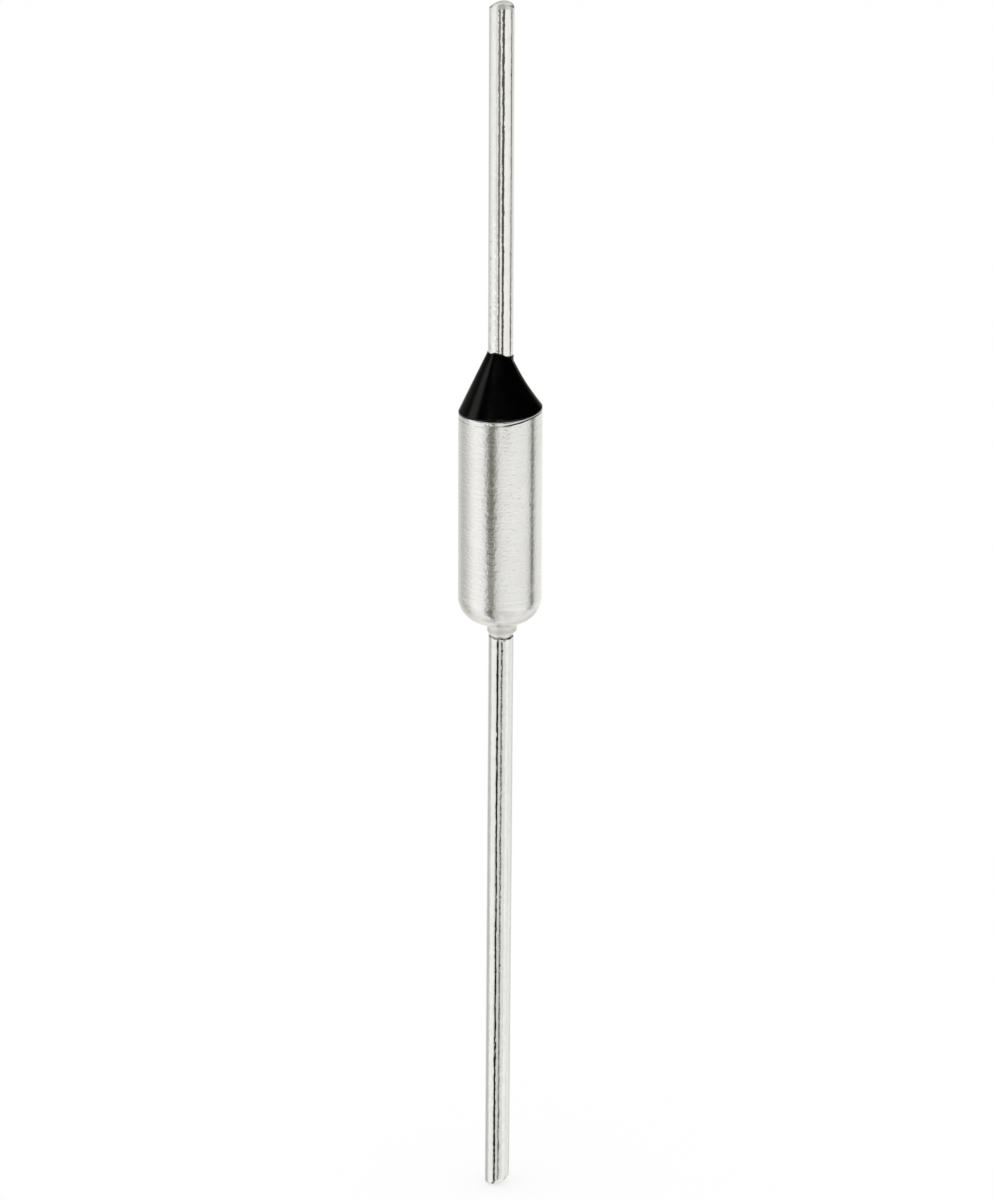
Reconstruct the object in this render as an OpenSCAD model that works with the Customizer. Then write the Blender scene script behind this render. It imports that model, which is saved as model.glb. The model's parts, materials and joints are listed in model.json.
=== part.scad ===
// Axial thermal fuse of the pellet type, in millimetres.
// A drawn metal case carries a riveted lead at its closed end. At its mouth a ceramic bush,
// held by the turned-in lip and sealed with resin, carries the isolated lead. Inside, from
// the closed end up: pellet, disc, main spring, disc, star contact and trip spring.
// The axis is Z, the isolated lead points up, and the origin is the middle of the case.

/* [Case] */
// Outer diameter of the case
case_d = 4.0; // [3.6:0.05:4.6]
// Length of the case from its closed end to the top of its lip
case_len = 10.5; // [9.8:0.1:12.5]
// Thickness of the drawn sheet
case_wall = 0.3; // [0.22:0.01:0.36]
// Width of the flat land round the rivet head, before the closed end rounds up to the wall
end_land = 0.1; // [0.08:0.01:0.3]
// Thickness of the thinned mouth that takes the bush
mouth_wall = 0.14; // [0.1:0.01:0.16]
// Outer radius of the turned-in lip
lip_r = 0.2; // [0.18:0.01:0.3]
// How far the lip reaches in from the outside of the case
lip_reach = 0.5; // [0.4:0.01:0.6]

/* [Leads] */
// Diameter of both lead wires
lead_d = 1.2; // [1.0:0.05:1.3]
// Free length of the isolated lead above the seal
isolated_lead_len = 17.0; // [8:0.1:40]
// Free length of the case lead below the case
case_lead_len = 29.15; // [8:0.05:40]
// Edge radius on the cut ends of the leads
lead_tip_r = 0.14; // [0.05:0.01:0.3]

/* [Riveted end of the case lead] */
// How far the collar that bears on the closed end stands out from the wire
collar_rim = 0.12; // [0.06:0.01:0.15]
// Thickness of the collar
collar_t = 0.48; // [0.25:0.01:0.6]
// Draft of the collar's rim, from the case down to its chamfer
collar_draft = 0.02; // [0.01:0.005:0.04]
// Height of the chamfer under the collar
collar_chamfer = 0.06; // [0.05:0.01:0.15]
// Length of the band below the collar that the heading tool gripped
grip_len = 0.2; // [0.15:0.01:0.4]
// Radius of the groove that the edge of the tool left in the wire
grip_groove_r = 0.05; // [0.03:0.005:0.07]
// Depth of that groove
grip_groove_depth = 0.02; // [0.01:0.005:0.025]
// Diameter of the rivet shank
rivet_d = 0.86; // [0.7:0.02:0.98]
// Diameter of the rivet head inside the case
rivet_head_d = 1.2; // [1.1:0.02:1.5]
// Height of the rivet head
rivet_head_t = 0.34; // [0.25:0.01:0.45]

/* [Bush] */
// Thickness of the flange that the lip holds
bush_flange_t = 1.3; // [0.9:0.05:1.6]
// Length of the body below the flange, down to the spring seat
bush_body_len = 1.0; // [0.7:0.05:1.3]
// Length of the boss inside the trip spring
bush_boss_len = 0.9; // [0.7:0.05:1.2]
// Wall of the boss round the lead
bush_boss_wall = 0.28; // [0.22:0.01:0.32]
// Length of the nose that stands up into the seal
bush_nose_len = 0.9; // [0.5:0.05:1.2]
// Wall of the nose round the lead
bush_nose_wall = 0.4; // [0.25:0.01:0.45]

/* [Seal] */
// Height of the resin above the lip
seal_h = 2.85; // [2.4:0.05:3.6]
// Radius of the rounded edge that lies on the lip
seal_edge_r = 0.12; // [0.08:0.01:0.16]
// How far that edge beds down over the rounding of the lip
seal_bed = 0.05; // [0.03:0.005:0.06]
// Wall of the resin where the cone meets its neck
seal_neck_wall = 0.12; // [0.07:0.01:0.2]
// Length of the neck that climbs the lead
seal_neck_len = 0.36; // [0.2:0.01:0.6]
// Wall of the resin at the top of the neck
seal_top_wall = 0.05; // [0.03:0.005:0.06]

/* [Contact] */
// How far the head on the inner end of the isolated lead stands out from the wire
head_rim = 0.2; // [0.15:0.01:0.25]
// Thickness of that head
head_t = 0.4; // [0.3:0.01:0.6]
// Thickness of the star contact's sheet
contact_t = 0.12; // [0.08:0.01:0.16]
// Number of fingers on the star contact
finger_count = 12; // [8:1:16]
// Width of the slots between the fingers
slot_w = 0.14; // [0.08:0.01:0.2]
// Rise of each finger from the flat to the wall
finger_rise = 0.55; // [0.35:0.01:0.7]

/* [Pellet and discs] */
// Length of the pellet
pellet_len = 2.8; // [2.2:0.1:3.4]
// Thickness of both discs
disc_t = 0.2; // [0.14:0.01:0.3]

/* [Springs] */
// Wire diameter of the main spring
main_wire_d = 0.36; // [0.28:0.01:0.42]
// Wire diameter of the trip spring
trip_wire_d = 0.18; // [0.14:0.01:0.2]

/* [Fits] */
// Clearance at each side of a piece that slides or drops in
slide_fit = 0.03; // [0.02:0.005:0.05]
// Bond line at each side of a piece that is riveted or sealed in
bond_fit = 0.01; // [0.005:0.001:0.015]
// Clearance between the trip spring and the boss inside it
trip_coil_fit = 0.06; // [0.04:0.01:0.1]
// Clearance between the bore and the main spring with its upper disc
main_coil_fit = 0.24; // [0.15:0.01:0.3]

/* [Hidden] */
$fn = 64;

// Edge roundings on turned or fired pieces, and on pressed or headed ones
fine_edge = 0.05;
pressed_edge = 0.12;

// Radii of the leads
lead_r = lead_d / 2;
head_r = lead_r + head_rim;
collar_r = lead_r + collar_rim;
rivet_r = rivet_d / 2;
rivet_head_r = rivet_head_d / 2;

// Radii of the case
case_r = case_d / 2;
bore_r = case_r - case_wall;
mouth_r = case_r - mouth_wall;
lip_hole_r = case_r - lip_reach;
case_end_r = case_r - rivet_head_r - end_land;
bore_end_r = case_end_r - case_wall;
lip_inner_r = lip_r - mouth_wall;

// Radii of the bush, the springs and the contact
bush_bore_r = lead_r + slide_fit;
boss_r = bush_bore_r + bush_boss_wall;
nose_r = bush_bore_r + bush_nose_wall;
trip_coil_r = boss_r + trip_coil_fit + trip_wire_d / 2;
main_coil_r = bore_r - main_coil_fit - main_wire_d / 2;
contact_disc_r = bore_r - main_coil_fit;
contact_flat_r = trip_coil_r + trip_wire_d / 2 + slide_fit;
finger_tip_r = bore_r - slide_fit;

// Heights of the case
case_floor = -case_len / 2;
case_top = case_len / 2;
bore_floor = case_floor + case_wall;
lip_under = case_top - mouth_wall;

// Heights of the bush and of the contact below it
nose_top = lip_under + bush_nose_len;
bush_ledge = lip_under - bush_flange_t;
bush_seat = bush_ledge - bush_body_len;
boss_end = bush_seat - bush_boss_len;
contact_top = boss_end - head_t;
contact_under = contact_top - contact_t;

// Heights of the stack on the pellet
pellet_top = bore_floor + pellet_len;
main_seat_low = pellet_top + disc_t;
main_seat_high = contact_under - disc_t;

// Heights of the seal and of the leads
seal_top = case_top + seal_h;
seal_neck = seal_top - seal_neck_len;
isolated_lead_end = seal_top + isolated_lead_len;
case_lead_end = case_floor - case_lead_len;
collar_under = case_floor - collar_t;
grip_groove = collar_under - grip_len;

// Coil springs: half a turn lies flat at each end, and the pitch leaves a gap between turns
flat_turns = 0.5;
least_pitch_ratio = 2.2;
coil_sides = 12;
coil_steps = 24;

// A quarter disc that rounds a corner, above its centre or below it
module corner(r, above) {
    intersection() {
        circle(r);
        translate([0, above ? 0 : -r]) square(r);
    }
}

// Half section of a round bar between two heights, with its edges rounded
module bar(r, low, high, low_r = 0, high_r = 0) {
    translate([0, low + low_r]) square([r, high - low - low_r - high_r]);
    if (low_r > 0) {
        translate([0, low]) square([r - low_r, low_r]);
        translate([r - low_r, low + low_r]) corner(low_r, false);
    }
    if (high_r > 0) {
        translate([0, high - high_r]) square([r - high_r, high_r]);
        translate([r - high_r, high - high_r]) corner(high_r, true);
    }
}

// Drawn cup, opened out at its mouth for the bush, with the lip turned in over it
module case() {
    color("silver") rotate_extrude() difference() {
        bar(case_r, case_floor, case_top, case_end_r, lip_r);
        bar(bore_r, bore_floor, bush_ledge, bore_end_r);
        bar(mouth_r, bush_ledge, lip_under, 0, lip_inner_r);
        bar(lip_hole_r, lip_under, case_top);
        bar(rivet_r + bond_fit, case_floor, bore_floor);
    }
}

// Half section of the domed rivet head, a cap cut from a circle
module rivet_dome() {
    dome_r = (pow(rivet_head_r, 2) + pow(rivet_head_t, 2)) / (2 * rivet_head_t);
    intersection() {
        translate([0, bore_floor + rivet_head_t - dome_r]) circle(dome_r);
        translate([0, bore_floor]) square([dome_r, rivet_head_t]);
    }
}

// Half section of the collar, drafted down to its chamfer
module collar() {
    polygon([
        [0, collar_under],
        [lead_r, collar_under],
        [collar_r - collar_draft, collar_under + collar_chamfer],
        [collar_r, case_floor],
        [0, case_floor]
    ]);
}

// Headed wire: cut end, grooved grip, collar, and the shank riveted over inside the case
module case_lead() {
    color("gainsboro") rotate_extrude() {
        difference() {
            bar(lead_r, case_lead_end, collar_under, lead_tip_r);
            translate([lead_r + grip_groove_r - grip_groove_depth, grip_groove]) circle(grip_groove_r);
        }
        collar();
        bar(rivet_r, case_floor, bore_floor);
        rivet_dome();
    }
}

// Wire through the bush, with the head that the star contact presses on
module isolated_lead() {
    color("gainsboro") rotate_extrude() {
        bar(head_r, contact_top, boss_end, pressed_edge, fine_edge);
        bar(lead_r, boss_end, isolated_lead_end, 0, lead_tip_r);
    }
}

// Stepped insulator: boss, body and flange inside the case, and the nose inside the seal
module ceramic_bush() {
    color("ivory") rotate_extrude() difference() {
        union() {
            bar(boss_r, boss_end, bush_seat, fine_edge);
            bar(bore_r - slide_fit, bush_seat, bush_ledge, fine_edge);
            bar(mouth_r - slide_fit, bush_ledge, lip_under, 0, lip_inner_r + slide_fit);
            bar(nose_r, lip_under, nose_top, 0, fine_edge);
        }
        bar(bush_bore_r, boss_end, nose_top);
    }
}

// Half section of the resin: a rounded edge, a cone that leaves it at a tangent, and a neck
module seal_outline() {
    edge = [case_r - seal_edge_r, case_top - seal_bed + seal_edge_r];
    neck = [lead_r + seal_neck_wall, seal_neck];
    span = neck - edge;
    leave = atan2(span.y, span.x) - acos(seal_edge_r / norm(span));
    polygon([
        [0, lip_under],
        [edge.x, lip_under],
        edge,
        edge + seal_edge_r * [cos(leave), sin(leave)],
        neck,
        [lead_r + seal_top_wall, seal_top],
        [0, seal_top]
    ]);
    translate(edge) circle(seal_edge_r);
}

// Half section of the lip that the resin lies on
module lip_section() {
    difference() {
        bar(case_r + bond_fit, bush_ledge, case_top, 0, lip_r + bond_fit);
        bar(lip_hole_r - bond_fit, bush_ledge, case_top);
    }
}

// Resin cast over the lip and the bush, with the nose and the lead inside it
module epoxy_seal() {
    color("black") rotate_extrude() difference() {
        seal_outline();
        lip_section();
        bar(nose_r + bond_fit, lip_under, nose_top + bond_fit);
        bar(lead_r + bond_fit, lip_under, seal_top);
    }
}

// Pressed pellet that fills the closed end, hollowed to clear the rivet head
module fusible_pellet() {
    color("palegreen") rotate_extrude() difference() {
        bar(bore_r - slide_fit, bore_floor, pellet_top, bore_end_r, pressed_edge);
        bar(rivet_head_r + slide_fit, bore_floor, bore_floor + rivet_head_t + slide_fit);
    }
}

// Plain disc that spreads the load of the main spring over the pellet
module pellet_disc() {
    color("darkkhaki") rotate_extrude()
        bar(bore_r - slide_fit, pellet_top, main_seat_low, fine_edge, fine_edge);
}

// Plain disc that carries the star contact on the main spring
module contact_disc() {
    color("darkkhaki") rotate_extrude()
        bar(contact_disc_r, main_seat_high, contact_under, fine_edge, fine_edge);
}

// Dished sheet whose fingers lean out to the wall of the case
module star_contact() {
    color("whitesmoke") difference() {
        rotate_extrude() {
            bar(contact_flat_r, contact_under, contact_top);
            polygon([
                [contact_flat_r, contact_under],
                [finger_tip_r, contact_under + finger_rise],
                [finger_tip_r, contact_top + finger_rise],
                [contact_flat_r, contact_top]
            ]);
        }
        for (i = [0 : finger_count - 1])
            rotate(i * 360 / finger_count)
                translate([contact_flat_r, -slot_w / 2, contact_under])
                    cube([case_r, slot_w, case_len]);
    }
}

// Compression spring between two seats, with as many half turns as leave a gap between coils
module coil_spring(coil_r, wire_d, seat_low, seat_high) {
    rise = seat_high - seat_low - wire_d;
    active_turns = max(1, floor(2 * rise / (least_pitch_ratio * wire_d)) / 2);
    turns = active_turns + 2 * flat_turns;
    steps = round(turns * coil_steps);
    points = [
        for (i = [0 : steps], j = [0 : coil_sides - 1])
            let (
                turn = turns * i / steps,
                side = 360 * j / coil_sides,
                climb = rise * min(1, max(0, (turn - flat_turns) / active_turns)),
                r = coil_r + wire_d / 2 * cos(side),
                z = seat_low + climb + wire_d / 2 * (1 + sin(side))
            )
            [r * cos(360 * turn), r * sin(360 * turn), z]
    ];
    skin = [
        for (i = [0 : steps - 1], j = [0 : coil_sides - 1])
            let (k = (j + 1) % coil_sides, here = i * coil_sides, next = here + coil_sides)
            [here + j, here + k, next + k, next + j]
    ];
    first_cap = [for (j = [coil_sides - 1 : -1 : 0]) j];
    last_cap = [for (j = [0 : coil_sides - 1]) steps * coil_sides + j];
    polyhedron(points, concat(skin, [first_cap, last_cap]));
}

// Strong spring that presses the star contact against the isolated lead
module main_spring() {
    color("slategray") coil_spring(main_coil_r, main_wire_d, main_seat_low, main_seat_high);
}

// Weak spring that pushes the star contact away once the pellet has melted
module trip_spring() {
    color("slategray") coil_spring(trip_coil_r, trip_wire_d, contact_top, bush_seat);
}

case();
case_lead();
isolated_lead();
ceramic_bush();
epoxy_seal();
fusible_pellet();
pellet_disc();
main_spring();
contact_disc();
star_contact();
trip_spring();
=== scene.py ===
"""Axial thermal fuse: a satin case with a black resin seal, between two bright wire leads.

Lengths are in millimetres until a mesh is made. The origin is the middle of the case, and Z is its
axis.
"""

import json
import math

import bpy
import numpy as np
from mathutils import Matrix, Vector


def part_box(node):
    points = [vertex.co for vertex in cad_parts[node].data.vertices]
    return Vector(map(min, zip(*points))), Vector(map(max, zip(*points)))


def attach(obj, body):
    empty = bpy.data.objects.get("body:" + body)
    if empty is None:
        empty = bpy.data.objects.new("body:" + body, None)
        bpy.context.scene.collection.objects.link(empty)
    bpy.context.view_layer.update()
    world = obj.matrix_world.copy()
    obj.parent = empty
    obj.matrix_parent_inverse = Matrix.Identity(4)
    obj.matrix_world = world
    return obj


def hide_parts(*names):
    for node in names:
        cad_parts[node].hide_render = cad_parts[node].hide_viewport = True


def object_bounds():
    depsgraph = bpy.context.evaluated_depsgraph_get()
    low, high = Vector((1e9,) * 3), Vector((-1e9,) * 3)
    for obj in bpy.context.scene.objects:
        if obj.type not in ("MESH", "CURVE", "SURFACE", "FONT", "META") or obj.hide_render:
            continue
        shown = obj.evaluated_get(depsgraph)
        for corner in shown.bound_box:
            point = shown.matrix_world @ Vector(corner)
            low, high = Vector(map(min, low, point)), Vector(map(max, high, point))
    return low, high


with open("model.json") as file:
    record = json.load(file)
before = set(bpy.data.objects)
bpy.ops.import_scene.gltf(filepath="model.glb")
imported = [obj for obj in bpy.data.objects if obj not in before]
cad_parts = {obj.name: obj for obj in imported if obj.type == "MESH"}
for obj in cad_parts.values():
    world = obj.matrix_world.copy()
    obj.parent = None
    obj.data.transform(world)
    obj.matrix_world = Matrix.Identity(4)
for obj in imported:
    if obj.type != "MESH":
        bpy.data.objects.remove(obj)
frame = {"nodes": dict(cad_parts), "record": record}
cad_low, cad_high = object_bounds()

MM = 0.001
SEGMENTS = 256
ANGLES = np.linspace(0, 2 * math.pi, SEGMENTS, endpoint=False)
RIGHT = np.cos(ANGLES)
FRONT = -np.sin(ANGLES)


# Sizes that come from the frame

def node_box(node):
    """Lowest and highest corner of a CAD node, in millimetres."""
    low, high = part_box(node)
    return low / MM, high / MM


case_low, case_high = node_box("case")
seal_low, seal_high = node_box("epoxy_seal")
_, bush_high = node_box("ceramic_bush")
pellet_low, pellet_high = node_box("fusible_pellet")
upper_low, upper_high = node_box("isolated_lead")
lower_low, lower_high = node_box("case_lead")
pin_r = {m["name"]: m["dims"].get("r_mm") for m in frame["record"]["mounts"]}

CASE_R = pin_r["case_body"]
LEAD_R = pin_r["case_lead"]
CASE_FLOOR, CASE_TOP = case_low.z, case_high.z
BORE_FLOOR = pellet_low.z
LIP_UNDER = seal_low.z
SEAL_TOP = seal_high.z

# Sizes of the case
SLIDE_FIT = 0.03
BOND_FIT = 0.01
BORE_R = pellet_high.x + SLIDE_FIT
MOUTH_R = bush_high.x + SLIDE_FIT
CASE_WALL = CASE_R - BORE_R
LIP_TURN_IN = 0.5
LIP_HOLE_R = CASE_R - LIP_TURN_IN
FLANGE_T = 1.3
RIVET_R = 0.43
END_R = 1.3
END_DULL = 1.5
BEAD_R = 0.1
BEAD_FROM = -8
BEAD_TUCK = 54
BEAD_WAIST = 0.045
BEAD_WAIST_H = 0.085
CREASE_START = -0.35
CREASE_RUN = 0.2
CREASE_FADE = 0.6
BEAD_THIN = 0.7
BEAD_THIN_START = -0.25
BEAD_THIN_RUN = 0.95
RIM_RISE = 0.2
RIM_RISE_POWER = 1.5
BURR = 0.05
BURR_RIGHT = -0.27
BURR_W = 0.03

# Sizes of the resin, with how far its top and its foot depart from level, to the side and the front
NOSE_R = 1.03
NOSE_TOP = bush_high.z
EDGE_R = 0.125
EDGE_SWELL = 0.055
EDGE_FOOT = CASE_TOP + BOND_FIT
EDGE_TILT = 0.08
EDGE_DIP = 0.04
EDGE_STAND_RUN = 0.7
EDGE_HANG = 58
TOP_MEAN = SEAL_TOP - 0.14
TOP_TILT = 0.2
TOP_CLIMB = 0.22
FILM = 0.022
FILM_TOP = SEAL_TOP - 0.07
HOLLOW = 0.085
FOOT_RIPPLE = 0.02
TOP_RIPPLE = 0.05
FILM_RIPPLE = 0.04

# Sizes of the leads
HEAD_R = upper_high.x
HEAD_T = 0.4
HEAD_EDGE_R = 0.12
RIVET_HEAD_R = 0.6
RIVET_HEAD_T = lower_high.z - BORE_FLOOR
COLLAR_R = lower_high.x
COLLAR_T = 0.48
COLLAR_CHAMFER = 0.06
COLLAR_DRAFT = 0.02
COLLAR_EDGE = 0.03
GRIP_LEN = 0.2
GROOVE_DEPTH = 0.04
GROOVE_HALF_W = 0.1
GROOVE_WAVE = 0.09
GROOVE_ROOM = 1.6 * GROOVE_HALF_W
CUT_SIDE_FALL = 0.28
CUT_BACK_FALL = 0.26
CUT_MIDDLE_FALL = 0.04
CUT_EDGE_R = 0.07
CUT_ROOM = 0.9
CUT_CROWN = 3.2
CUT_CROWN_TILT = 1.8
SHEAR_EDGE_R = 0.37
SHEAR_EDGE_R_TILT = 0.17
SHEAR_EDGE_H = 0.40
SHEAR_EDGE_H_TILT = 0.20
SHEAR_ROOM = 0.8
CUT_DULL = 0.32
DULL_EDGE = 0.04
SWAY_COLLAR = 0.11
SWAY_WIRE = 0.07
SWAY_TIP = -0.03
RING_STEP = 0.3
RING_GUARD = 0.03

# How dark the lower lead is painted, from 0 to 1: painted shade in the grip groove, just under the
# collar, on its chamfer, and fading up its side
GROOVE_SHADE = 0.8
GRIP_SHADE = 0.1
CHAMFER_SHADE = 0.35
COLLAR_SHADE = 0.3, 0.12, 0.05, 0


# Meshes of revolution: each ring is a radius and a height, plain or given for every angle

def arc(centre_r, centre_z, radius_r, radius_z, start, end, steps):
    """Rings along an arc of the half section, from one angle to another in degrees."""
    turns = np.radians(np.linspace(start, end, steps + 1))
    return [
        (centre_r + radius_r * math.cos(t), centre_z + radius_z * math.sin(t))
        for t in turns
    ]


def line(start, end, steps):
    """Rings along a straight stretch, without its first point."""
    return [
        (
            start[0] + (end[0] - start[0]) * i / steps,
            start[1] + (end[1] - start[1]) * i / steps,
        )
        for i in range(1, steps + 1)
    ]


def wall(radius, low, high):
    """Rings up or down a cylinder, close together at its ends so that its shading is straight."""
    guard = math.copysign(min(RING_GUARD, abs(high - low) / 4), high - low)
    steps = max(2, round(abs(high - low) / RING_STEP))
    heights = [low + guard, *np.linspace(low, high, steps + 1)[1:-1], high - guard, high]
    return [(radius, z) for z in heights]


def lathe(name, rings, poles=None, sway=None, soil=None):
    """Turns rings into a mesh: a closed section, or a bar whose ends close at poles on the axis.

    A sway gives how far the bar is off the axis, to the right, at each height. Painted shade gives
    how dark each ring is painted, from 0 to 1, and is kept on the mesh for its material.
    """
    shape = (len(rings), SEGMENTS)
    radii = np.array([np.broadcast_to(r, SEGMENTS) for r, _ in rings])
    heights = np.array([np.broadcast_to(z, SEGMENTS) for _, z in rings])
    off = sway or np.zeros_like
    points = np.stack([radii * RIGHT + off(heights), -radii * FRONT, heights], axis=-1) * MM
    index = np.arange(shape[0] * SEGMENTS).reshape(shape)
    following = np.roll(index, -1, axis=1)
    last = None if poles is None else -1
    upper, upper_following = np.roll(index, -1, axis=0), np.roll(following, -1, axis=0)
    quads = np.stack([index, following, upper_following, upper], axis=-1)[:last]
    verts = points.reshape(-1, 3).tolist()
    faces = quads.reshape(-1, 4).tolist()
    if poles is not None:
        first_pole, last_pole = len(verts), len(verts) + 1
        verts += [[float(off(np.float64(z))) * MM, 0, z * MM] for z in poles]
        faces += [[first_pole, b, a] for a, b in zip(index[0], following[0])]
        faces += [[last_pole, a, b] for a, b in zip(index[-1], following[-1])]
    mesh = bpy.data.meshes.new(name)
    mesh.from_pydata(verts, [], [[int(v) for v in f] for f in faces])
    mesh.shade_smooth()
    mesh.update()
    # Each ring's painted shade, kept on the mesh for its material
    if soil is not None:
        shade_layer = mesh.attributes.new("soil", "FLOAT", "POINT")
        for number, value in enumerate(soil):
            for corner in range(number * SEGMENTS, (number + 1) * SEGMENTS):
                shade_layer.data[corner].value = value
    piece = bpy.data.objects.new(name, mesh)
    bpy.context.scene.collection.objects.link(piece)
    return piece


def ripple(seed, size, waves):
    """A small uneven edge round the axis: waves of random phase that add up to about one size."""
    phases = np.random.default_rng(seed).uniform(0, 2 * math.pi, len(waves))
    return size / len(waves) * sum(np.sin(n * ANGLES + p) for n, p in zip(waves, phases))


def lip():
    """Top of the lip, radius of its bead and how far that has thinned.

    To the right, the lip rises and its bead thins out.
    """
    thinned = np.clip((RIGHT - BEAD_THIN_START) / BEAD_THIN_RUN, 0, 1)
    top = CASE_TOP + RIM_RISE * np.maximum(RIGHT, 0) ** RIM_RISE_POWER
    return top, BEAD_R * (1 - BEAD_THIN * thinned), thinned


def case_shell():
    """Drawn cup: round closed end, straight wall, and the rolled bead of the lip over the bush."""
    top, bead_r, thinned = lip()
    bead_z = top - bead_r
    waist_low = CASE_TOP - 2 * BEAD_R - BEAD_WAIST_H
    waist_high = top - 2 * bead_r
    bore_end_r = END_R - CASE_WALL
    ledge = LIP_UNDER - FLANGE_T
    rings = [(RIVET_R + BOND_FIT, CASE_FLOOR)]
    rings += line(rings[-1], (CASE_R - END_R, CASE_FLOOR), 4)
    rings += arc(CASE_R - END_R, CASE_FLOOR + END_R, END_R, END_R, -90, 0, 48)[1:]
    rings += wall(CASE_R, CASE_FLOOR + END_R, waist_low)
    crease = np.clip((RIGHT - CREASE_START) / CREASE_RUN, 0, 1) * (1 - CREASE_FADE * thinned)
    rings += line(rings[-1], (CASE_R, waist_high - BEAD_WAIST_H), 3)
    waist_steps = 13
    for i in range(1, waist_steps):
        dip = BEAD_WAIST * crease * math.sin(math.pi * i / (2 * waist_steps)) ** 2
        rings.append((CASE_R - dip, waist_high - BEAD_WAIST_H * (1 - i / waist_steps)))
    burr = BURR * np.exp(-((RIGHT - BURR_RIGHT) / BURR_W) ** 2) * (FRONT > 0)
    for share in np.linspace(0, 1, 29):
        turn = np.radians((BEAD_FROM - BEAD_TUCK * crease) * (1 - share) + 90 * share)
        swell = burr * np.cos(turn) ** 2
        out = CASE_R - bead_r + bead_r * np.cos(turn) + swell
        rings.append((out, bead_z + bead_r * np.sin(turn)))
    rings += line(rings[-1], (LIP_HOLE_R, top), 4)
    rings += line(rings[-1], (LIP_HOLE_R, LIP_UNDER), 2)
    rings += line(rings[-1], (MOUTH_R, LIP_UNDER), 2)
    rings += wall(MOUTH_R, LIP_UNDER, ledge)
    rings += line(rings[-1], (BORE_R, ledge), 2)
    rings += wall(BORE_R, ledge, BORE_FLOOR + bore_end_r)
    bore_end = BORE_R - bore_end_r, BORE_FLOOR + bore_end_r
    rings += arc(*bore_end, bore_end_r, bore_end_r, 0, -90, 24)[1:]
    rings += line(rings[-1], (RIVET_R + BOND_FIT, BORE_FLOOR), 3)
    return lathe("case_shell", rings)


def resin_seal():
    """Resin cast by hand: its cone climbs the lead unevenly and rounds over on the lip."""
    ahead = np.maximum(FRONT, 0) ** 2
    edge_r = EDGE_R + EDGE_SWELL * RIGHT
    foot = EDGE_FOOT + EDGE_TILT * RIGHT - EDGE_DIP * ahead + ripple(3, FOOT_RIPPLE, (3, 5, 8, 13))
    top = TOP_MEAN - TOP_TILT * RIGHT + TOP_CLIMB * ahead + ripple(7, TOP_RIPPLE, (2, 3, 5, 9))
    film_top = np.maximum(top, FILM_TOP + ripple(5, FILM_RIPPLE, (3, 4, 7))) + FILM
    leave = math.degrees(math.atan2(CASE_R - LEAD_R, SEAL_TOP - CASE_TOP))
    lip_top, bead_r, _ = lip()
    bead = bead_r + BOND_FIT
    stand = np.clip(RIGHT / EDGE_STAND_RUN, 0, 1)
    edge_z = (foot + edge_r) * (1 - stand) + (lip_top + BOND_FIT) * stand

    rings = [(NOSE_R + BOND_FIT, LIP_UNDER), (LIP_HOLE_R - BOND_FIT, LIP_UNDER)]
    rings += line(rings[-1], (LIP_HOLE_R - BOND_FIT, lip_top + BOND_FIT), 2)
    rings += arc(CASE_R - bead_r, lip_top - bead_r, bead, bead, 90, 66, 6)
    for share in np.linspace(0, 1, 21):
        turn = np.radians(-EDGE_HANG * (1 - stand) * (1 - share) + leave * share)
        rings.append((CASE_R - edge_r + edge_r * np.cos(turn), edge_z + edge_r * np.sin(turn)))
    cone = line(rings[-1], (LEAD_R + FILM, top), 60)
    for number, (r, z) in enumerate(cone, 1):
        sag = math.sin(math.pi * number / len(cone))
        rings.append((r - HOLLOW * sag * (1 + RIGHT) / 2, z))
    rings += line(rings[-1], (LEAD_R + FILM, film_top - FILM), 6)[1:]
    rings += arc(LEAD_R, film_top - FILM, FILM, FILM, 20, 80, 4)
    rings += [(LEAD_R, film_top - 2 * FILM)]
    rings += line(rings[-1], (LEAD_R + BOND_FIT, NOSE_TOP + BOND_FIT), 6)
    rings += line(rings[-1], (NOSE_R + BOND_FIT, NOSE_TOP + BOND_FIT), 2)
    return lathe("resin_seal", rings)


def tip(low, edge_r, edge_z):
    """Rings of a cut wire's lower end, from near its middle out, with an edge that may vary."""
    flat_r = LEAD_R - edge_r
    rings = [(flat_r * share, low + 0 * edge_z) for share in (0.15, 0.3, 0.45, 0.6, 0.75, 0.9)]
    return rings + arc(flat_r, low + edge_z, edge_r, edge_z, -90, 0, 20)


def upper_wire():
    """Wire out of the seal, pinched off at the top, and headed inside the case."""
    low, high = upper_low.z, upper_high.z
    edge = CUT_EDGE_R + 0 * RIGHT
    side_fall = CUT_SIDE_FALL * RIGHT ** 2
    back_fall = CUT_BACK_FALL * np.maximum(-FRONT, 0) ** 2
    front_rise = CUT_MIDDLE_FALL * np.maximum(FRONT, 0)
    crown = CUT_CROWN + CUT_CROWN_TILT * RIGHT
    cut = []
    for r, z in tip(low, edge, edge):
        share = r / LEAD_R
        fall = (side_fall + back_fall) * share ** crown - front_rise * share
        cut.append((r, high - CUT_MIDDLE_FALL - fall - (z - low)))
    rings = [(HEAD_R * share, low) for share in (0.3, 0.6)]
    head_edge = HEAD_R - HEAD_EDGE_R, low + HEAD_EDGE_R
    rings += arc(*head_edge, HEAD_EDGE_R, HEAD_EDGE_R, -90, 0, 10)
    rings += line(rings[-1], (HEAD_R, low + HEAD_T), 3)
    rings += line(rings[-1], (LEAD_R, low + HEAD_T), 3)
    rings += wall(LEAD_R, low + HEAD_T, high - CUT_ROOM)
    rings += [(LEAD_R, cut[-1][1] - gap) for gap in (0.1, 0.04, 0.01)]
    rings += cut[::-1]
    return lathe("upper_wire", rings, (low, high - CUT_MIDDLE_FALL))


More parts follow.
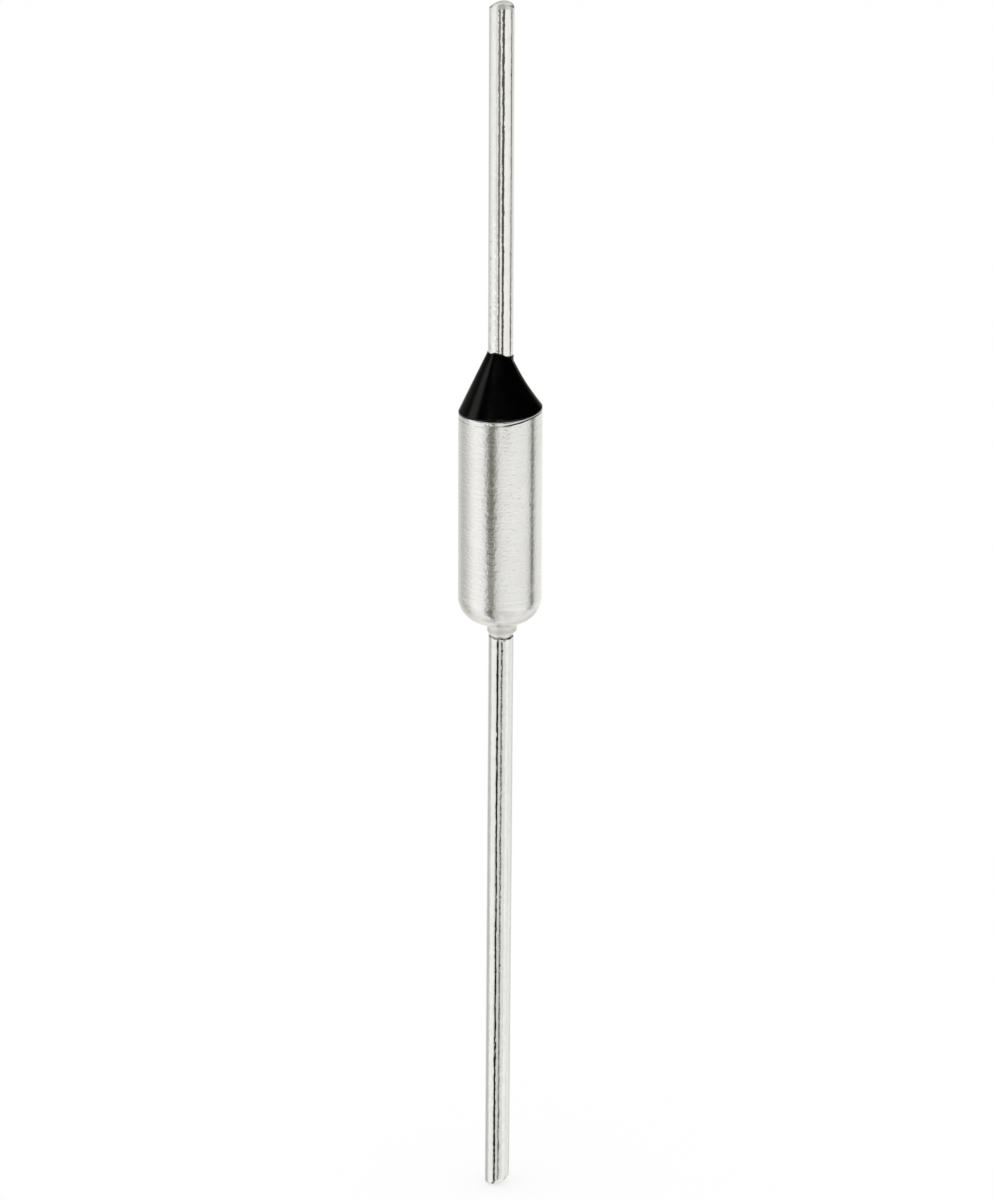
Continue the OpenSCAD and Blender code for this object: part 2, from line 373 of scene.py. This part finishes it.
def lower_wire():
    """Wire out of the closed end: collar against the case, grip mark, and a sheared tip."""
    low = lower_low.z
    collar_under = CASE_FLOOR - COLLAR_T
    groove_z = collar_under - GRIP_LEN
    edge_r = SHEAR_EDGE_R + SHEAR_EDGE_R_TILT * RIGHT
    edge_z = SHEAR_EDGE_H + SHEAR_EDGE_H_TILT * RIGHT
    wave = ripple(11, GROOVE_WAVE, (2, 3, 5, 7, 11))
    # Painted shade on each ring, from 0 to 1: dark in the grip groove, faint just under the collar,
    # then on its chamfer, fading up its side
    soil = []
    rings = tip(low, edge_r, edge_z)
    rings += wall(LEAD_R, low + SHEAR_ROOM, groove_z - GROOVE_ROOM)
    for offset in np.linspace(-1, 1, 17):
        depth = GROOVE_DEPTH * (0.5 + 0.5 * math.cos(math.pi * offset)) ** 2
        rings.append((LEAD_R - depth, groove_z + GROOVE_HALF_W * offset + wave * (1 - offset ** 2)))
        soil += [0] * (len(rings) - len(soil) - 1)
        soil.append(GROOVE_SHADE * math.cos(math.pi / 2 * offset) ** 2)
    rings += [(LEAD_R, collar_under - COLLAR_EDGE), (LEAD_R + 0.006, collar_under - 0.008)]
    soil += [GRIP_SHADE] * (len(rings) - len(soil))
    rings += [(LEAD_R + 0.02, collar_under)]
    chamfer_top = collar_under + COLLAR_CHAMFER
    chamfer_r = COLLAR_R - COLLAR_DRAFT
    rings += line(rings[-1], (chamfer_r - 0.02, chamfer_top - COLLAR_EDGE), 4)
    rings += [(chamfer_r - 0.005, chamfer_top), (chamfer_r, chamfer_top + COLLAR_EDGE)]
    soil += [CHAMFER_SHADE] * (len(rings) - len(soil))
    rings += line(rings[-1], (COLLAR_R, CASE_FLOOR - COLLAR_EDGE), len(COLLAR_SHADE))
    soil += COLLAR_SHADE
    rings += [(COLLAR_R - 0.006, CASE_FLOOR - 0.008), (COLLAR_R - COLLAR_EDGE, CASE_FLOOR)]
    rings += line(rings[-1], (RIVET_R, CASE_FLOOR), 3)
    rings += line(rings[-1], (RIVET_R, BORE_FLOOR), 3)
    rings += line(rings[-1], (RIVET_HEAD_R, BORE_FLOOR), 3)
    rings += arc(0, BORE_FLOOR, RIVET_HEAD_R, RIVET_HEAD_T, 0, 84, 14)[1:]
    soil += [0] * (len(rings) - len(soil))

    def sway(z):
        heights = [low, collar_under, chamfer_top, CASE_FLOOR, BORE_FLOOR]
        return np.interp(z, heights, [SWAY_TIP, SWAY_WIRE, SWAY_COLLAR, SWAY_COLLAR, 0])

    return lathe("lower_wire", rings, (low, lower_high.z), sway, soil)


# Materials: principled shaders with colour, roughness and bump from noise in the object's own space

class Finish:
    """A procedural material and short ways to add nodes to it."""

    def __init__(self, name, metallic, **sockets):
        self.material = bpy.data.materials.new(name)
        self.material.use_nodes = True
        self.tree = self.material.node_tree
        self.shader = self.tree.nodes["Principled BSDF"]
        self.shader.inputs["Metallic"].default_value = metallic
        for socket, value in sockets.items():
            self.shader.inputs[socket.replace("_", " ")].default_value = value

    def node(self, kind, **settings):
        made = self.tree.nodes.new("ShaderNode" + kind)
        for key, value in settings.items():
            setattr(made, key, value)
        return made

    def link(self, source, target):
        self.tree.links.new(source, target)

    def place(self):
        """The point on the object, in its own space."""
        return self.node("TexCoord").outputs["Object"]

    def noise(self, per_mm, detail=3.0, rough=0.5):
        """Noise with so many features a millimetre along X, Y and Z."""
        mapping = self.node("Mapping")
        mapping.inputs["Scale"].default_value = [s / MM for s in per_mm]
        self.link(self.place(), mapping.inputs["Vector"])
        made = self.node("TexNoise")
        made.inputs["Scale"].default_value = 1.0
        made.inputs["Detail"].default_value = detail
        made.inputs["Roughness"].default_value = rough
        self.link(mapping.outputs["Vector"], made.inputs["Vector"])
        return made.outputs["Fac"]

    def spread(self, value, low, high, start=0.3, end=0.7):
        """A value between start and end, spread over low to high."""
        made = self.node("MapRange")
        ends = {"From Min": start, "From Max": end, "To Min": low, "To Max": high}
        for socket, number in ends.items():
            made.inputs[socket].default_value = number
        self.link(value, made.inputs["Value"])
        return made.outputs["Result"]

    def mix(self, factor, first, second):
        """Colour or number between two others, plain or linked."""
        is_colour = isinstance(first, tuple) or isinstance(second, tuple)
        made = self.node("Mix", data_type="RGBA" if is_colour else "FLOAT")
        start = 6 if is_colour else 2
        for socket, value in ((made.inputs[start], first), (made.inputs[start + 1], second)):
            if isinstance(value, bpy.types.NodeSocket):
                self.link(value, socket)
            else:
                socket.default_value = (*value, 1.0) if is_colour else value
        self.link(factor, made.inputs[0])
        return made.outputs[2 if is_colour else 0]

    def above(self, height, soft):
        """0 below a height on the axis and 1 above it."""
        split = self.node("SeparateXYZ")
        self.link(self.place(), split.inputs["Vector"])
        return self.spread(split.outputs["Z"], 0.0, 1.0, (height - soft) * MM, (height + soft) * MM)

    def colour(self, value):
        self.link(value, self.shader.inputs["Base Color"])

    def roughness(self, value):
        self.link(value, self.shader.inputs["Roughness"])

    def bump(self, *layers):
        """Stacks bumps, each a height and how deep it is in millimetres."""
        below = None
        for height, depth in layers:
            made = self.node("Bump")
            made.inputs["Strength"].default_value = 1.0
            made.inputs["Distance"].default_value = depth * MM
            self.link(height, made.inputs["Height"])
            if below is not None:
                self.link(below, made.inputs["Normal"])
            below = made.outputs["Normal"]
        self.link(below, self.shader.inputs["Normal"])


def satin_metal():
    """Plated case: fine marks round it, small dents and grain, blotches, and a duller closed end."""
    finish = Finish("satin_plate", 1.0)
    marks = finish.noise((0.6, 0.6, 9.0), 4.0, 0.65)
    grain = finish.noise((6.0, 6.0, 8.0), 3.0)
    dents = finish.noise((2.2, 2.2, 4.0), 2.0)
    blotch = finish.noise((0.5, 0.5, 0.35), 3.0)
    plate = finish.mix(finish.spread(blotch, 0, 1), (0.86, 0.857, 0.838), (0.915, 0.911, 0.893))
    worn = finish.mix(finish.spread(marks, 0.40, 1.0), (0.74, 0.73, 0.70), plate)
    finish.colour(finish.mix(finish.spread(grain, 0.82, 1.0, 0.35, 0.55), (0.70, 0.69, 0.65), worn))
    wall_rough = finish.spread(marks, 0.13, 0.22)
    end_rough = finish.spread(grain, 0.17, 0.27)
    finish.roughness(finish.mix(finish.above(CASE_FLOOR + END_DULL, END_R), end_rough, wall_rough))
    finish.bump((dents, 0.008), (marks, 0.005), (grain, 0.012))
    return finish.material


def bright_wire(name):
    """Tinned wire: draw lines along it, a few dull streaks and specks, and a slow waver."""
    finish = Finish(name, 1.0)
    lines = finish.noise((7.0, 7.0, 0.12), 3.0, 0.6)
    streaks = finish.noise((2.0, 2.0, 0.3), 2.0)
    waver = finish.noise((2.2, 2.2, 2.4), 2.0)
    specks = finish.noise((5.0, 5.0, 3.5), 2.0)
    tin = finish.mix(finish.spread(streaks, 0, 1), (0.87, 0.867, 0.845), (0.92, 0.917, 0.897))
    tin = finish.mix(finish.spread(specks, 0.78, 1.0, 0.35, 0.6), (0.72, 0.715, 0.70), tin)
    rough = finish.spread(lines, 0.03, 0.09)
    finish.bump((lines, 0.003), (waver, 0.018))
    return finish, tin, rough


def upper_finish():
    """The sheared end is duller than the drawn wall."""
    finish, tin, rough = bright_wire("tinned_wire_upper")
    finish.colour(tin)
    cut = finish.spread(finish.noise((6.0, 6.0, 6.0)), 0.30, 0.42)
    finish.roughness(finish.mix(finish.above(upper_high.z - CUT_DULL, DULL_EDGE), rough, cut))
    return finish.material


def lower_finish():
    """The wire is satin from the grip mark up, with painted shade in the mark, under the collar and
    on its lower part.
    """
    finish, tin, rough = bright_wire("tinned_wire_lower")
    soil = finish.node("Attribute", attribute_name="soil").outputs["Fac"]
    satin = finish.spread(finish.noise((1.0, 1.0, 12.0)), 0.45, 0.58)
    headed = finish.above(CASE_FLOOR - COLLAR_T - GRIP_LEN, DULL_EDGE)
    clean = finish.mix(headed, tin, (0.92, 0.91, 0.86))
    # The mesh's shade value darkens the colour towards dark grey: painted shade in the groove and on
    # the collar
    finish.colour(finish.mix(soil, clean, (0.30, 0.29, 0.26)))
    finish.roughness(finish.mix(headed, rough, satin))
    metallic = finish.mix(headed, (1.0, 1.0, 1.0), (0.6, 0.6, 0.6))
    finish.link(metallic, finish.shader.inputs["Metallic"])
    return finish.material


def black_resin():
    """Potting resin: near black, glossy, with a faint skin and dust in it."""
    finish = Finish("black_resin", 0.0, Specular_IOR_Level=0.21)
    skin = finish.noise((1.6, 1.6, 1.2), 3.0)
    dust = finish.noise((14.0, 14.0, 14.0), 2.0)
    dusty = finish.spread(dust, 0, 1, 0.5, 0.8)
    finish.colour(finish.mix(dusty, (0.00012, 0.00012, 0.00014), (0.0006, 0.0006, 0.0006)))
    finish.roughness(finish.spread(skin, 0.12, 0.2))
    finish.bump((skin, 0.006), (dust, 0.0015))
    return finish.material


def plain_finish(name, dark, light, metallic, rough, per_mm, depth):
    """A hidden piece's material: two close colours, uneven roughness and a small bump."""
    finish = Finish(name, metallic)
    grain = finish.noise(per_mm)
    finish.colour(finish.mix(finish.spread(grain, 0, 1), dark, light))
    finish.roughness(finish.spread(grain, *rough))
    finish.bump((grain, depth))
    return finish.material


# Pieces in view

def dress(piece, node, material):
    piece.data.materials.append(material)
    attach(piece, "root")
    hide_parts(node)


dress(case_shell(), "case", satin_metal())
dress(resin_seal(), "epoxy_seal", black_resin())
dress(upper_wire(), "isolated_lead", upper_finish())
dress(lower_wire(), "case_lead", lower_finish())

# Pieces inside the case keep their solids
brass = plain_finish(
    "brass", (0.66, 0.52, 0.27), (0.76, 0.62, 0.36), 1.0, (0.25, 0.4), (3, 3, 3), 0.002,
)
steel = plain_finish(
    "spring_steel", (0.45, 0.45, 0.46), (0.58, 0.58, 0.59), 1.0, (0.25, 0.4), (5, 5, 5), 0.002,
)
inside = {
    "ceramic_bush": plain_finish(
        "steatite", (0.80, 0.77, 0.70), (0.88, 0.86, 0.80),
        0.0, (0.55, 0.75), (8, 8, 8), 0.004,
    ),
    "fusible_pellet": plain_finish(
        "pressed_pellet", (0.66, 0.71, 0.56), (0.76, 0.80, 0.66),
        0.0, (0.6, 0.8), (10, 10, 10), 0.006,
    ),
    "star_contact": plain_finish(
        "silvered_sheet", (0.86, 0.85, 0.81), (0.93, 0.92, 0.90),
        1.0, (0.12, 0.25), (4, 4, 4), 0.001,
    ),
    "pellet_disc": brass,
    "contact_disc": brass,
    "main_spring": steel,
    "trip_spring": steel,
}
for node, material in inside.items():
    for slot in frame["nodes"][node].material_slots:
        slot.material = material


# Stage: a pale floor, a white room with darker gaps between its light cards, and a soft lamp

# Brightness of the room by the angle in degrees right of the camera's side, in bands from below the
# fuse up to overhead. The two lowest bands have the same front.
ROOM_FRONT = (
    (-40, 0.68), (-32, 0.22), (-24, 0.12), (-16, 0.24), (-8, 0.72), (7, 0.92), (40, 0.97),
    (76, 0.92), (92.5, 0.66), (98.5, 0.0), (101, 0.0),
)
CARDS = (
    (-180, 0.92), (-150, 0.76), (-120, 0.50), (-100, 0.66), (-84, 0.98), (-72, 1.08), (-52, 1.08),
    *ROOM_FRONT, (107, 0.62), (116, 0.90), (150, 0.95), (180, 0.92),
)
UPPER = (
    (-180, 0.92), (-150, 0.66), (-125, 0.66), (-105, 0.84), (-84, 0.96), (-64, 0.96), (-52, 0.88),
    *ROOM_FRONT, (104.5, 0.50), (116, 0.66), (124, 0.78), (150, 0.84), (180, 0.92),
)
HORIZON = (
    (-180, 0.45), (-160, 0.20), (-108, 0.12), (-98, 0.70), (-88, 1.0), (-40, 1.0), (-28, 0.02),
    (140, 0.015), (155, 0.20), (168, 0.40), (180, 0.45),
)
CEILING = (
    (-180, 0.60), (-160, 0.20), (-104, 0.10), (-98, 0.95), (-84, 1.10), (-78, 0.30), (-72, 0.015),
    (140, 0.01), (155, 0.20), (168, 0.50), (180, 0.60),
)
OVERHEAD = (
    (-180, 0.95), (-60, 1.0), (-45, 0.60), (-32, 0.03), (150, 0.03), (170, 0.70), (180, 0.95),
)
# The same along the width of a strip that runs on under the fuse, and how the strip widens
UNDER_HALF = 2
UNDER = (
    (-UNDER_HALF, 0.90), (-1.35, 0.90), (-1.1, 0.45), (-0.95, 0.18), (-0.65, 0.18), (-0.5, 0.6),
    (-0.4, 0.90), (UNDER_HALF, 0.90),
)
UNDER_WIDTH = 1.15
UNDER_WIDENS = 0.9
UNDER_BACK = (0.90, 0.89, 0.865)
# Where each band begins and is full: towards the back for the strip, upwards for the rest
UNDER_ENDS = 0.08, 0.18
CARDS_FROM = -0.80, -0.62
UPPER_FROM = -0.280, -0.271
HORIZON_FROM = -0.14, -0.07
CEILING_FROM = 0.20, 0.26
OVERHEAD_FROM = 0.58, 0.68

FLOOR_HALF = 3.0
FLOOR_WHITE = 0.97
FLOOR_GLOW = 0.65
LAMP_SIZE = 0.6
LAMP_ENERGY = 0.2
LAMP_DISTANCE = 0.6
LAMP_AZIMUTH = -50
LAMP_ELEVATION = 60

# Light cards, hung some way off: the stretch of a round piece's width that shows each, and its level
FAR_R = 24.0
FAR_GAP_R = FAR_R - 0.1
NEAR_R = 8.0
NEAR_GAP_R = NEAR_R - 0.1
SHELF_R = NEAR_R - 0.11
CARD_STEPS = 12
CASE_CARDS = ((-0.42, -0.31, 0.98), (-0.31, -0.12, 0.38), (-0.12, -0.03, 0.85))
UPPER_CARDS = ((-0.33, 0.2, 0.88),)
UPPER_GAPS = ((-0.25, -0.085, 0.24), (0.058, 0.235, 0.10))
TIP_CARDS = ((-0.99, 0.99, 0.80),)
LOWER_CARDS = (
    (-0.62, -0.39, 0.95), (-0.39, 0.19, 0.70), (0.19, 0.40, 0.80), (0.676, 0.866, 0.88),
    (0.88, 0.99, 0.74),
)
LOWER_GAPS = ((-0.318, -0.178, 0.02), (0.0, 0.14, 0.0))
SHELVES = 0.0, 0.14, 0.92
SHELF_STEP = 0.3
SHELF_DEPTH = 0.22
# Heights between which each set of cards shows
CASE_SPAN = CASE_FLOOR, CASE_FLOOR + 4.2
UPPER_SPAN = SEAL_TOP - 0.4, upper_high.z + 0.1
UPPER_GAP_SPAN = SEAL_TOP - 0.9, upper_high.z + 2
TIP_SPAN = upper_high.z + 10.5, upper_high.z + 60
LOWER_SPAN = lower_low.z - 1, CASE_FLOOR - COLLAR_T - GRIP_LEN
LOWER_SWAYS = SWAY_TIP, SWAY_WIRE


def direction(azimuth, elevation):
    """Unit vector to a place in the room, by its angle right of the camera's side and upwards."""
    a, e = math.radians(azimuth), math.radians(elevation)
    return Vector((math.sin(a) * math.cos(e), -math.cos(a) * math.cos(e), math.sin(e)))


def warm(level):
    """Light of a level: what is darker is also a little warmer."""
    shade = max(0, 1 - level) ** 2
    return (level, level * (1 - 0.03 * shade), level * (1 - 0.28 * shade), 1.0)


def studio_world():
    world = bpy.data.worlds.new("studio")
    world.use_nodes = True
    tree = world.node_tree
    add, join = tree.nodes.new, tree.links.new

    def math_node(operation, *values):
        made = add("ShaderNodeMath")
        made.operation = operation
        for socket, value in zip(made.inputs, values):
            if isinstance(value, bpy.types.NodeSocket):
                join(value, socket)
            else:
                socket.default_value = value
        return made.outputs[0]

    def blend(factor, first, second):
        made = add("ShaderNodeMix")
        made.data_type = "RGBA"
        for socket, value in zip(made.inputs[6:8], (first, second)):
            if isinstance(value, bpy.types.NodeSocket):
                join(value, socket)
            else:
                socket.default_value = (*value, 1.0)
        join(factor, made.inputs[0])
        return made.outputs[2]

    look = add("ShaderNodeTexCoord").outputs["Generated"]
    split = add("ShaderNodeSeparateXYZ")
    join(look, split.inputs[0])
    x, y, z = split.outputs
    azimuth = math_node("ARCTAN2", x, math_node("MULTIPLY", y, -1))
    turn = math_node("DIVIDE", azimuth, math.pi)
    width = math_node("ADD", math_node("MULTIPLY", z, UNDER_WIDENS), UNDER_WIDTH)
    across = math_node("DIVIDE", x, width)

    def levels_along(value, half, levels):
        """Light along a value from minus half to half."""
        made = add("ShaderNodeValToRGB")
        stops = made.color_ramp.elements
        while len(stops) < len(levels):
            stops.new(0.5)
        for stop, (place, level) in zip(stops, levels):
            stop.position = (place / half + 1) / 2
            stop.color = warm(level)
        join(math_node("MULTIPLY_ADD", value, 0.5, 0.5), made.inputs[0])
        return made.outputs[0]

    def by_azimuth(levels):
        return levels_along(turn, 180, levels)

    def beyond(value, start, end):
        """0 where a value is lower than a start, and 1 where it is higher than an end."""
        made = add("ShaderNodeMapRange")
        made.inputs["From Min"].default_value = start
        made.inputs["From Max"].default_value = end
        join(value, made.inputs["Value"])
        return made.outputs[0]

    strip = levels_along(math_node("DIVIDE", across, UNDER_HALF), UNDER_HALF, UNDER)
    room = blend(beyond(y, *UNDER_ENDS), strip, UNDER_BACK)
    bands = (
        (CARDS_FROM, CARDS), (UPPER_FROM, UPPER), (HORIZON_FROM, HORIZON), (CEILING_FROM, CEILING),
        (OVERHEAD_FROM, OVERHEAD),
    )
    for ends, levels in bands:
        room = blend(beyond(z, *ends), room, by_azimuth(levels))
    rays = add("ShaderNodeLightPath")
    seen = blend(rays.outputs["Is Glossy Ray"], (1.0, 1.0, 1.0), room)
    join(seen, tree.nodes["Background"].inputs["Color"])
    bpy.context.scene.world = world


def floor():
    """White sheet under the lower lead, with a faint shadow; metal looks past it to the room."""
    mesh = bpy.data.meshes.new("floor")
    half, z = FLOOR_HALF, cad_low.z
    corners = [(-half, -half, z), (half, -half, z), (half, half, z), (-half, half, z)]
    mesh.from_pydata(corners, [], [(0, 1, 2, 3)])
    sheet = bpy.data.objects.new("floor", mesh)
    bpy.context.scene.collection.objects.link(sheet)
    paper = Finish("floor_paper", 0.0, Roughness=1.0, Specular_IOR_Level=0.0)
    paper.shader.inputs["Base Color"].default_value = (*[FLOOR_WHITE] * 3, 1.0)
    rays = paper.node("LightPath")
    seen = paper.node("Math", operation="ADD")
    paper.link(rays.outputs["Is Camera Ray"], seen.inputs[0])
    paper.link(rays.outputs["Is Transmission Ray"], seen.inputs[1])
    share = paper.node("Math", operation="MULTIPLY")
    share.inputs[1].default_value = FLOOR_GLOW
    paper.link(seen.outputs[0], share.inputs[0])
    white = paper.node("Emission")
    both = paper.node("MixShader")
    paper.link(share.outputs[0], both.inputs[0])
    paper.link(paper.shader.outputs[0], both.inputs[1])
    paper.link(white.outputs[0], both.inputs[2])
    paper.link(both.outputs[0], paper.tree.nodes["Material Output"].inputs["Surface"])
    mesh.materials.append(paper.material)
    sheet.visible_glossy = False


def hang(name, verts, faces, level):
    """A glowing card that only mirrors see."""
    mesh = bpy.data.meshes.new(name)
    mesh.from_pydata(verts, [], faces)
    card = bpy.data.objects.new(name, mesh)
    bpy.context.scene.collection.objects.link(card)
    glow = Finish(name, 0.0, Specular_IOR_Level=0.0, Emission_Strength=1.0)
    glow.shader.inputs["Base Color"].default_value = (0.0, 0.0, 0.0, 1.0)
    glow.shader.inputs["Emission Color"].default_value = warm(level)
    mesh.materials.append(glow.material)
    card.visible_camera = card.visible_diffuse = False
    card.visible_shadow = card.visible_transmission = False


def card_span(radius, low, high, wire_r):
    """Heights of a card that shows in a wire between two heights: mirror rays drop on their way."""
    eye = CAMERA_AIM + CAMERA_DISTANCE * direction(0, CAMERA_ELEVATION)
    return [z + (radius - wire_r) * (eye.z - z) / eye.y for z in (low, high)]


def card_turns(radius, start, end, wire_r):
    """Angles of a card that shows in a wire between two shares of its radius."""
    shares = np.linspace(start, end, CARD_STEPS + 1)
    return 2 * np.arcsin(shares) - np.arcsin(shares * wire_r / radius)


def card_row(radius, z, sway, turns):
    """Points side by side along a card, round an axis that is a sway to the right."""
    return [
        ((radius * math.sin(t) + sway) * MM, -radius * math.cos(t) * MM, z * MM)
        for t in turns
    ]


def card_faces(first):
    """Faces between two rows of a card, of which the first starts at a given point."""
    row = CARD_STEPS + 1
    return [(i, i + 1, i + row + 1, i + row) for i in range(first, first + CARD_STEPS)]


def wire_shelves(name, radius, low, high, sways):
    """Light shelves in front of a dark card: the wire looks between them, the case down on them."""
    start, end, level = SHELVES
    low, high = card_span(radius, low, high, LEAD_R)
    count = round((high - low) / SHELF_STEP)
    turns = card_turns(radius, start, end, LEAD_R)
    verts, faces = [], []
    for number in range(count):
        share = number / count
        z = low + (high - low) * share
        sway = sways[0] + (sways[1] - sways[0]) * share
        first = len(verts)
        for r in (radius - SHELF_DEPTH, radius):
            verts += card_row(r, z, sway, turns)
        faces += card_faces(first)
    hang(name, verts, faces, level)


def wire_cards(name, cards, radius, low, high, wire_r=LEAD_R, sways=(0.0, 0.0)):
    """Cards round a wire that show in it between two heights, with its sways off the axis there."""
    heights = card_span(radius, low, high, wire_r)
    for number, (start, end, level) in enumerate(cards):
        turns = card_turns(radius, start, end, wire_r)
        verts = []
        for z, sway in zip(heights, sways):
            verts += card_row(radius, z, sway, turns)
        hang(f"{name}_{number}", verts, card_faces(0), level)


def soft_lamp():
    data = bpy.data.lights.new("key", "AREA")
    data.size = LAMP_SIZE
    data.energy = LAMP_ENERGY
    lamp = bpy.data.objects.new("key", data)
    lamp.location = LAMP_DISTANCE * direction(LAMP_AZIMUTH, LAMP_ELEVATION)
    lamp.rotation_euler = lamp.location.to_track_quat("Z", "Y").to_euler()
    lamp.visible_glossy = False
    bpy.context.scene.collection.objects.link(lamp)


# Camera: above the fuse's middle, far enough off for its leads to look nearly parallel
IMAGE_H_PX = 1200
FOCAL_PX = 6265
CAMERA_DISTANCE = 300.0
CAMERA_ELEVATION = 18.0
CAMERA_AIM = Vector((-0.129, 0.0, -4.18))
CAMERA_ROLL = 0.21
SENSOR_W = 36.0
CLIP_NEAR, CLIP_FAR = 0.01, 20.0


def camera():
    data = bpy.data.cameras.new("camera")
    data.sensor_width = SENSOR_W
    data.lens = FOCAL_PX * SENSOR_W / IMAGE_H_PX
    data.clip_start, data.clip_end = CLIP_NEAR, CLIP_FAR
    back = direction(0, CAMERA_ELEVATION)
    turn = (-back).to_track_quat("-Z", "Y").to_matrix().to_4x4()
    place = Matrix.Translation((CAMERA_AIM + CAMERA_DISTANCE * back) * MM)
    made = bpy.data.objects.new("camera", data)
    made.matrix_world = place @ turn @ Matrix.Rotation(math.radians(CAMERA_ROLL), 4, "Z")
    bpy.context.scene.collection.objects.link(made)
    bpy.context.scene.camera = made


studio_world()
floor()
soft_lamp()
camera()
wire_cards("case_card", CASE_CARDS, FAR_R, *CASE_SPAN, CASE_R)
wire_cards("upper_card", UPPER_CARDS, FAR_R, *UPPER_SPAN)
wire_cards("upper_gap", UPPER_GAPS, FAR_GAP_R, *UPPER_GAP_SPAN)
wire_cards("tip_card", TIP_CARDS, FAR_R, *TIP_SPAN)
wire_cards("lower_card", LOWER_CARDS, NEAR_R, *LOWER_SPAN, LEAD_R, LOWER_SWAYS)
wire_cards("lower_gap", LOWER_GAPS, NEAR_GAP_R, *LOWER_SPAN, LEAD_R, LOWER_SWAYS)
wire_shelves("lower_shelves", SHELF_R, *LOWER_SPAN, LOWER_SWAYS)
bpy.context.scene.view_settings.view_transform = "Standard"
